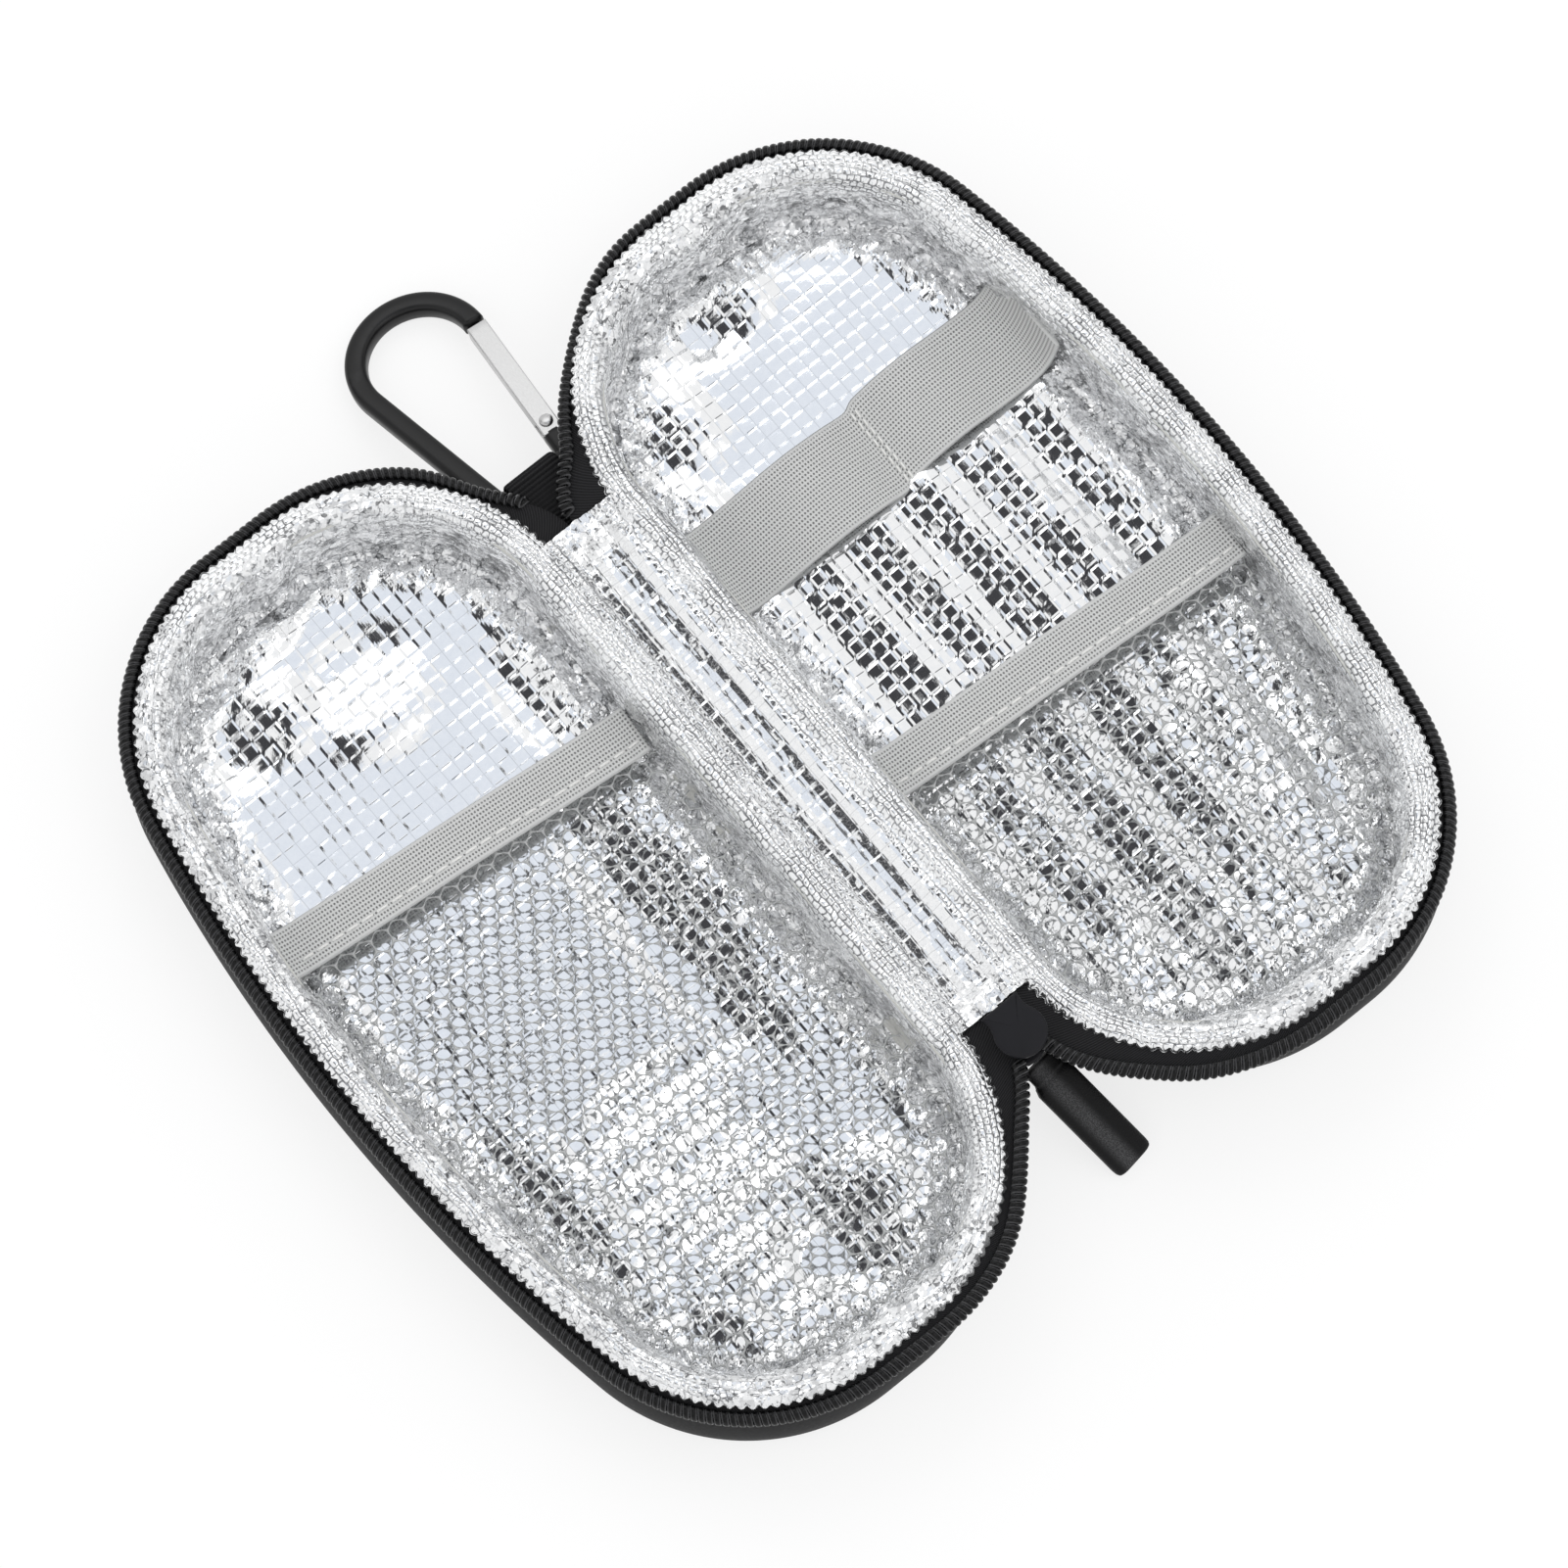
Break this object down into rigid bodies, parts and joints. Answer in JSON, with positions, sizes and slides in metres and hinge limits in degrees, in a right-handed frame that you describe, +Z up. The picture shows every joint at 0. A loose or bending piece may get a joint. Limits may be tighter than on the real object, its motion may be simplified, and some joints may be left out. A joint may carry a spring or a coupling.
{
  "type": "insulin cooling case",
  "caption": "Insulated zip case for injection pens, lying open: foil-lined half shells on a cloth spine, with net pockets, an elastic pen strap, a zip slider with pull tab and a snap hook.",
  "frame": {"origin": "under the middle of the open case's bounding box, on the table", "axes": "+Z up, +Y along the spine towards the snap hook, +X from the spine across the lid; the base lies on -X"},
  "size_m": [0.219, 0.2326, 0.0305],
  "materials": {
    "shell_cloth": "black woven cloth moulded over foam",
    "foam": "closed-cell insulating foam",
    "foil": "metallised quilted foil, crinkled",
    "zip_tape": "black twill tape",
    "zip_coil": "black nylon coil",
    "net": "pale knitted polyester net",
    "elastic": "grey woven elastic",
    "thread": "pale sewing thread",
    "slider": "black painted die casting",
    "pull_tab": "black moulded plastic with a fine grain",
    "webbing": "black ribbed webbing",
    "black_anodised": "black anodised rod",
    "steel": "bright stamped sheet"
  },
  "bodies": {
    "base": {"base_shell": "shell_cloth", "base_foam": "foam", "base_liner": "foil", "base_binding": "foil", "base_zip_tape": "zip_tape", "base_zip_coil": "zip_coil", "base_pocket_net": "net", "base_pocket_elastic": "elastic", "spine_strip": "zip_tape", "spine_liner": "foil", "webbing_loop": "webbing"},
    "lid": {"lid_shell": "shell_cloth", "lid_foam": "foam", "lid_liner": "foil", "lid_binding": "foil", "lid_zip_tape": "zip_tape", "lid_zip_coil": "zip_coil", "lid_pocket_net": "net", "lid_pocket_elastic": "elastic", "lid_strap": "elastic", "lid_strap_tack": "thread"},
    "slider": {"slider_body": "slider"},
    "pull": {"slider_pull": "pull_tab"},
    "carabiner": {"carabiner_frame": "black_anodised", "carabiner_rivet": "steel"},
    "gate": {"carabiner_gate": "steel", "carabiner_spring": "steel"}
  },
  "joints": [
    {"name": "case_fold", "type": "hinge", "parent": "base", "child": "lid", "pos_m": [0, -0.0113, 0.0267], "axis": [0, -1, 0], "range_deg": [0, 179.5], "deforming": ["spine_strip", "spine_liner", "lid_zip_coil"]},
    {"name": "slider_travel", "type": "hinge", "parent": "base", "child": "slider", "pos_m": [-0.0468, -0.0711, 0.0267], "axis": [0, 0, -1], "range_deg": [0, 75]},
    {"name": "pull_swing", "type": "hinge", "parent": "slider", "child": "pull", "pos_m": [0, -0.0821, 0.0213], "axis": [-1, 0, 0], "range_deg": [-50, 28]},
    {"name": "carabiner_swing", "type": "hinge", "parent": "base", "child": "carabiner", "pos_m": [0.0005, 0.065, 0.016], "axis": [1, 0, 0], "range_deg": [-60, 28]},
    {"name": "gate_open", "type": "hinge", "parent": "carabiner", "child": "gate", "pos_m": [0.00988, 0.07344, 0.01369], "axis": [0, 0.2637, 0.9646], "range_deg": [0, 25], "stiffness_Nm_per_rad": 0.05, "springref_deg": -11.46}
  ]
}
